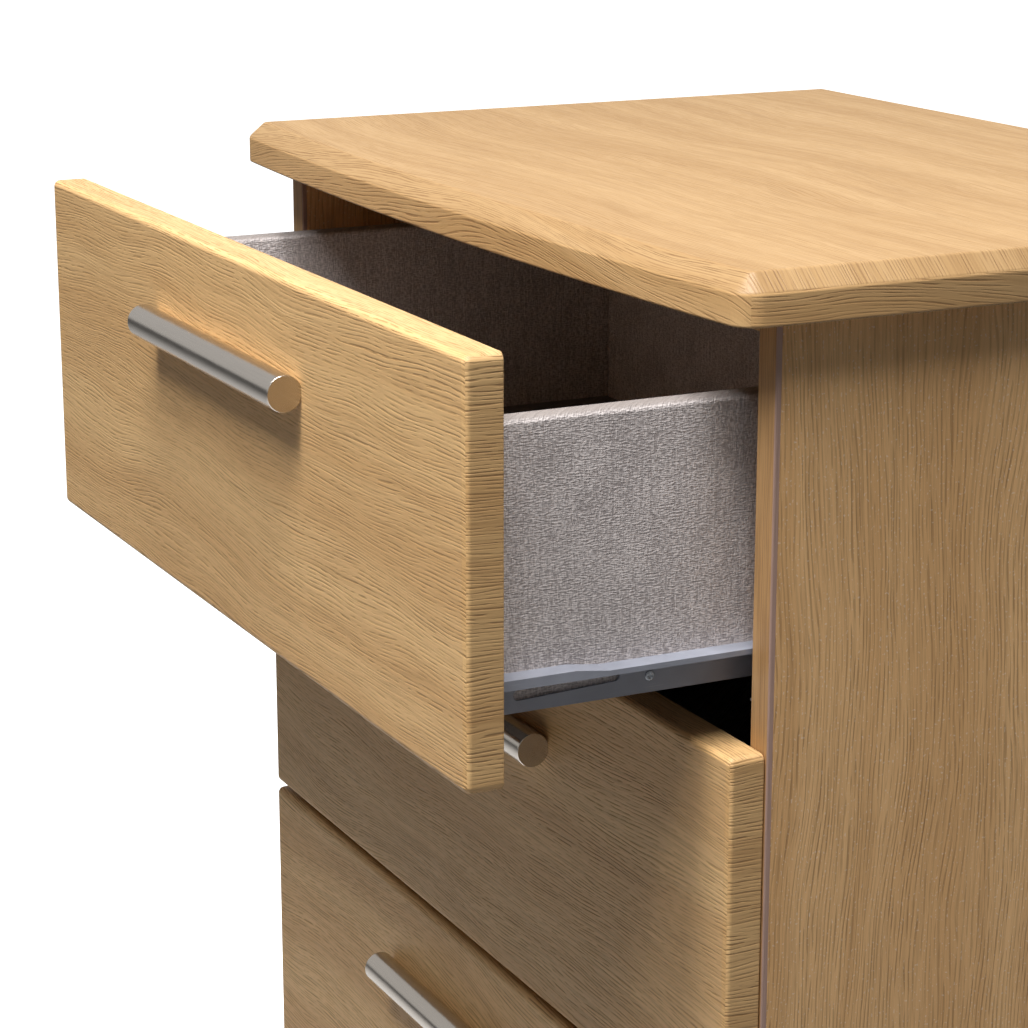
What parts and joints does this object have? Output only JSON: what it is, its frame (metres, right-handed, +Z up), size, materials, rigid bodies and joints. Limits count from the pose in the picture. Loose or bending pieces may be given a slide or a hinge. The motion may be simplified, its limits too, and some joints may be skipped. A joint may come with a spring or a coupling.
{
  "type": "chest of drawers",
  "caption": "Tall narrow chest of drawers with a bowed, bevelled top, oak effect fronts, round bar handles and box drawers that roll on steel runners.",
  "frame": {"origin": "on the floor, in the middle of the box round the whole chest with the top drawer pulled out to its rest position", "axes": "+X to the right seen from the front, +Y from the front to the back, +Z up"},
  "size_m": [0.575, 0.5316, 1.075],
  "materials": {
    "top_oak": "light oak effect foil, satin, fine pores",
    "front_oak": "light oak effect foil, satin, grain across",
    "carcass_oak": "light oak effect foil, satin, grain upright",
    "edge_band": "oak printed front, mauve brown edge",
    "linen_board": "grey linen effect foil",
    "hardboard": "plain brown hardboard",
    "runner_steel": "grey epoxy coated steel",
    "screw_steel": "bright zinc plate",
    "handle_nickel": "satin nickel, brushed along the bar",
    "roller_nylon": "natural nylon"
  },
  "bodies": {
    "carcass": {"top_panel": "top_oak", "left_side_panel": "carcass_oak", "right_side_panel": "carcass_oak", "side_edge_bands": "edge_band", "back_panel": "hardboard", "base_panel": "carcass_oak", "plinth": "carcass_oak", "top_rails": "carcass_oak", "cabinet_runners": "runner_steel", "carcass_screws": "screw_steel"},
    "drawer_1": {"drawer_1_front": "front_oak", "drawer_1_handle": "handle_nickel", "drawer_1_screws": "screw_steel", "drawer_1_left_side": "linen_board", "drawer_1_right_side": "linen_board", "drawer_1_back": "linen_board", "drawer_1_bottom": "linen_board", "drawer_1_runners": "runner_steel"},
    "drawer_1_rear_roller_pair": {"drawer_1_rear_rollers": "roller_nylon"},
    "drawer_1_front_roller_pair": {"drawer_1_front_rollers": "roller_nylon"},
    "drawer_2": {"drawer_2_front": "front_oak", "drawer_2_handle": "handle_nickel", "drawer_2_screws": "screw_steel", "drawer_2_left_side": "linen_board", "drawer_2_right_side": "linen_board", "drawer_2_back": "linen_board", "drawer_2_bottom": "linen_board", "drawer_2_runners": "runner_steel"},
    "drawer_2_rear_roller_pair": {"drawer_2_rear_rollers": "roller_nylon"},
    "drawer_2_front_roller_pair": {"drawer_2_front_rollers": "roller_nylon"},
    "drawer_3": {"drawer_3_front": "front_oak", "drawer_3_handle": "handle_nickel", "drawer_3_screws": "screw_steel", "drawer_3_left_side": "linen_board", "drawer_3_right_side": "linen_board", "drawer_3_back": "linen_board", "drawer_3_bottom": "linen_board", "drawer_3_runners": "runner_steel"},
    "drawer_3_rear_roller_pair": {"drawer_3_rear_rollers": "roller_nylon"},
    "drawer_3_front_roller_pair": {"drawer_3_front_rollers": "roller_nylon"},
    "drawer_4": {"drawer_4_front": "front_oak", "drawer_4_handle": "handle_nickel", "drawer_4_screws": "screw_steel", "drawer_4_left_side": "linen_board", "drawer_4_right_side": "linen_board", "drawer_4_back": "linen_board", "drawer_4_bottom": "linen_board", "drawer_4_runners": "runner_steel"},
    "drawer_4_rear_roller_pair": {"drawer_4_rear_rollers": "roller_nylon"},
    "drawer_4_front_roller_pair": {"drawer_4_front_rollers": "roller_nylon"},
    "drawer_5": {"drawer_5_front": "front_oak", "drawer_5_handle": "handle_nickel", "drawer_5_screws": "screw_steel", "drawer_5_left_side": "linen_board", "drawer_5_right_side": "linen_board", "drawer_5_back": "linen_board", "drawer_5_bottom": "linen_board", "drawer_5_runners": "runner_steel"},
    "drawer_5_rear_roller_pair": {"drawer_5_rear_rollers": "roller_nylon"},
    "drawer_5_front_roller_pair": {"drawer_5_front_rollers": "roller_nylon"}
  },
  "joints": [
    {"name": "drawer_1_slide", "type": "slide", "parent": "carcass", "child": "drawer_1", "axis": [0, -1, 0], "range_m": [-0.128, 0.122]},
    {"name": "drawer_1_rear_roller_spin", "type": "hinge", "parent": "drawer_1", "child": "drawer_1_rear_roller_pair", "pos_m": [0, 0.08507, 0.8826], "axis": [1, 0, 0], "range_deg": [-1005.6, 958.5]},
    {"name": "drawer_1_front_roller_spin", "type": "hinge", "parent": "carcass", "child": "drawer_1_front_roller_pair", "pos_m": [0, -0.08392, 0.8926], "axis": [1, 0, 0], "range_deg": [-1048.7, 999.6]},
    {"name": "drawer_2_slide", "type": "slide", "parent": "carcass", "child": "drawer_2", "axis": [0, -1, 0], "range_m": [0, 0.25]},
    {"name": "drawer_2_rear_roller_spin", "type": "hinge", "parent": "drawer_2", "child": "drawer_2_rear_roller_pair", "pos_m": [0, 0.21307, 0.6896], "axis": [1, 0, 0], "range_deg": [-1, 1963.2]},
    {"name": "drawer_2_front_roller_spin", "type": "hinge", "parent": "carcass", "child": "drawer_2_front_roller_pair", "pos_m": [0, -0.08392, 0.6996], "axis": [1, 0, 0], "range_deg": [-1, 2047.3]},
    {"name": "drawer_3_slide", "type": "slide", "parent": "carcass", "child": "drawer_3", "axis": [0, -1, 0], "range_m": [0, 0.25]},
    {"name": "drawer_3_rear_roller_spin", "type": "hinge", "parent": "drawer_3", "child": "drawer_3_rear_roller_pair", "pos_m": [0, 0.21307, 0.4966], "axis": [1, 0, 0], "range_deg": [-1, 1963.2]},
    {"name": "drawer_3_front_roller_spin", "type": "hinge", "parent": "carcass", "child": "drawer_3_front_roller_pair", "pos_m": [0, -0.08392, 0.5066], "axis": [1, 0, 0], "range_deg": [-1, 2047.3]},
    {"name": "drawer_4_slide", "type": "slide", "parent": "carcass", "child": "drawer_4", "axis": [0, -1, 0], "range_m": [0, 0.25]},
    {"name": "drawer_4_rear_roller_spin", "type": "hinge", "parent": "drawer_4", "child": "drawer_4_rear_roller_pair", "pos_m": [0, 0.21307, 0.3036], "axis": [1, 0, 0], "range_deg": [-1, 1963.2]},
    {"name": "drawer_4_front_roller_spin", "type": "hinge", "parent": "carcass", "child": "drawer_4_front_roller_pair", "pos_m": [0, -0.08392, 0.3136], "axis": [1, 0, 0], "range_deg": [-1, 2047.3]},
    {"name": "drawer_5_slide", "type": "slide", "parent": "carcass", "child": "drawer_5", "axis": [0, -1, 0], "range_m": [0, 0.25]},
    {"name": "drawer_5_rear_roller_spin", "type": "hinge", "parent": "drawer_5", "child": "drawer_5_rear_roller_pair", "pos_m": [0, 0.21307, 0.1106], "axis": [1, 0, 0], "range_deg": [-1, 1963.2]},
    {"name": "drawer_5_front_roller_spin", "type": "hinge", "parent": "carcass", "child": "drawer_5_front_roller_pair", "pos_m": [0, -0.08392, 0.1206], "axis": [1, 0, 0], "range_deg": [-1, 2047.3]}
  ],
  "couplings": [
    {"joint": "drawer_1_rear_roller_spin", "follows": "drawer_1_slide", "rad_per_m": 136.99},
    {"joint": "drawer_1_front_roller_spin", "follows": "drawer_1_slide", "rad_per_m": 142.86},
    {"joint": "drawer_2_rear_roller_spin", "follows": "drawer_2_slide", "rad_per_m": 136.99},
    {"joint": "drawer_2_front_roller_spin", "follows": "drawer_2_slide", "rad_per_m": 142.86},
    {"joint": "drawer_3_rear_roller_spin", "follows": "drawer_3_slide", "rad_per_m": 136.99},
    {"joint": "drawer_3_front_roller_spin", "follows": "drawer_3_slide", "rad_per_m": 142.86},
    {"joint": "drawer_4_rear_roller_spin", "follows": "drawer_4_slide", "rad_per_m": 136.99},
    {"joint": "drawer_4_front_roller_spin", "follows": "drawer_4_slide", "rad_per_m": 142.86},
    {"joint": "drawer_5_rear_roller_spin", "follows": "drawer_5_slide", "rad_per_m": 136.99},
    {"joint": "drawer_5_front_roller_spin", "follows": "drawer_5_slide", "rad_per_m": 142.86}
  ]
}
